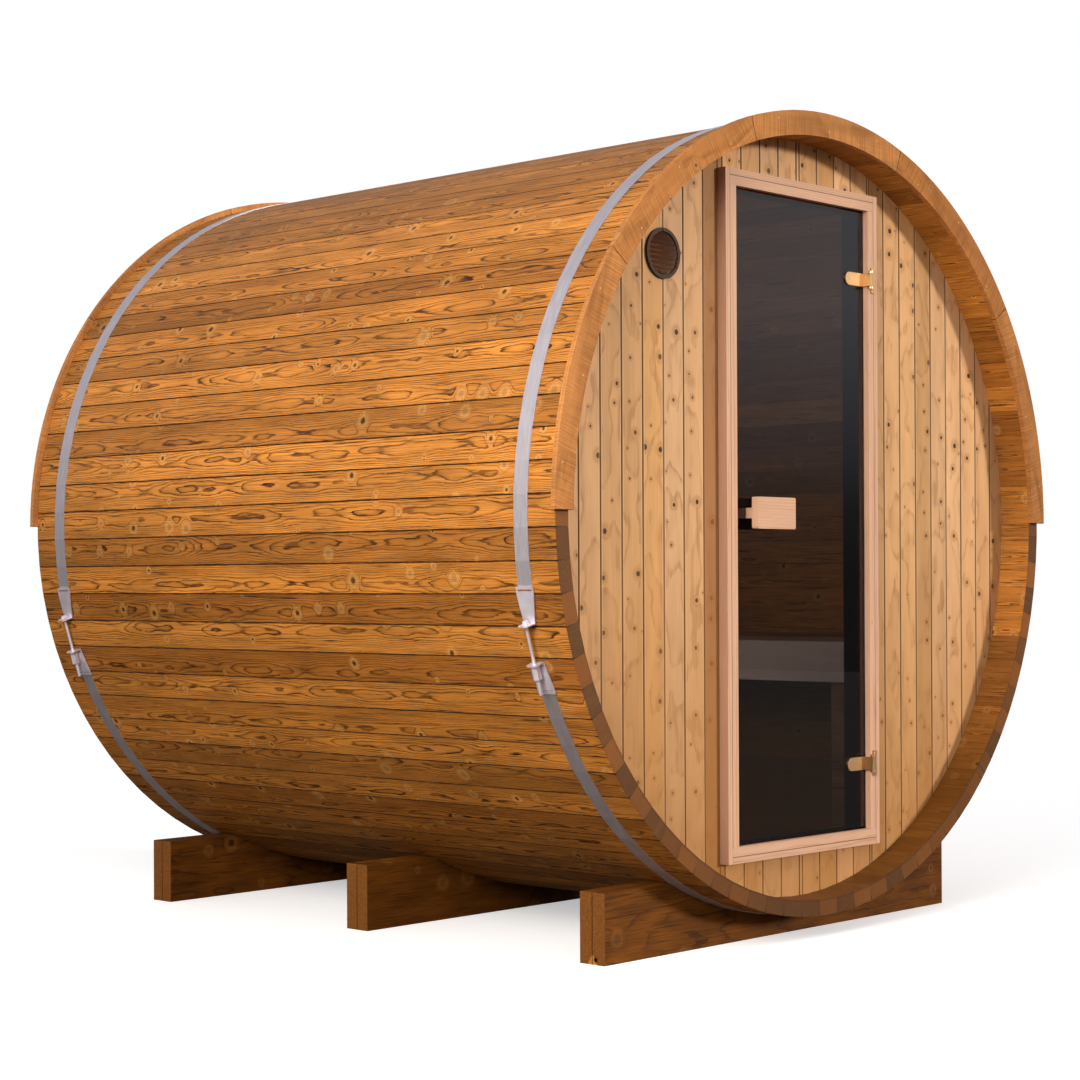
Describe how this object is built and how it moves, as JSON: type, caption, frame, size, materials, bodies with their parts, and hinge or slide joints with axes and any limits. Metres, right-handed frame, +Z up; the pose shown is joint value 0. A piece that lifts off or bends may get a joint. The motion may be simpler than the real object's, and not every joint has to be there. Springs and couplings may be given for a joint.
{
  "type": "barrel sauna",
  "caption": "Round timber sauna cabin of bead-and-cove staves held by steel hoops on curved cradles, with a glass door in a recessed end wall.",
  "frame": {"origin": "on the ground under the middle of the barrel", "axes": "+Z up, +Y along the barrel from the door end to the plain end, +X to the right seen from the door end"},
  "size_m": [2.072, 2.043, 2.1138],
  "materials": {
    "stave_wood": "oiled",
    "fascia_wood": "sawn",
    "wall_wood": "planed",
    "frame_wood": "planed",
    "door_glass": "bronze tinted",
    "hinge_brass": "satin",
    "vent_brown": "satin",
    "hoop_steel": "mill",
    "cradle_wood": "stained",
    "bench_wood": "planed"
  },
  "bodies": {
    "cabin": {"staves_bottom": "stave_wood", "staves_left_lower": "stave_wood", "staves_left_upper": "stave_wood", "staves_top": "stave_wood", "staves_right_lower": "stave_wood", "staves_right_upper": "stave_wood", "fascia_front": "fascia_wood", "fascia_back": "fascia_wood", "front_wall_left": "wall_wood", "front_wall_right": "wall_wood", "front_wall_over_door": "wall_wood", "front_wall_under_door": "wall_wood", "back_wall_left": "wall_wood", "back_wall_right": "wall_wood", "casing_left": "frame_wood", "casing_right": "frame_wood", "casing_head": "frame_wood", "casing_sill": "frame_wood", "lining_head": "frame_wood", "lining_sill": "frame_wood", "lining_left": "frame_wood", "lining_right": "frame_wood", "hinge_plates": "hinge_brass", "vent_rim": "vent_brown", "vent_louvres": "vent_brown", "band_front": "hoop_steel", "band_rear": "hoop_steel", "tensioner_front": "hoop_steel", "tensioner_rear": "hoop_steel", "cradle_front_plank_a": "cradle_wood", "cradle_front_plank_b": "cradle_wood", "cradle_middle_plank_a": "cradle_wood", "cradle_middle_plank_b": "cradle_wood", "cradle_rear_plank_a": "cradle_wood", "cradle_rear_plank_b": "cradle_wood", "bench_slats": "bench_wood", "bench_apron": "bench_wood", "bench_legs": "bench_wood", "bench_bearers": "bench_wood"},
    "door": {"door_glass": "door_glass", "handle_outer": "frame_wood", "handle_inner": "frame_wood", "handle_stubs": "frame_wood", "hinge_tongues": "hinge_brass", "hinge_clamps": "hinge_brass"}
  },
  "joints": [
    {"name": "door_hinge", "type": "hinge", "parent": "cabin", "child": "door", "pos_m": [0.284, -0.9485, 1.0735], "axis": [0, 0, 1], "range_deg": [0, 110]}
  ]
}
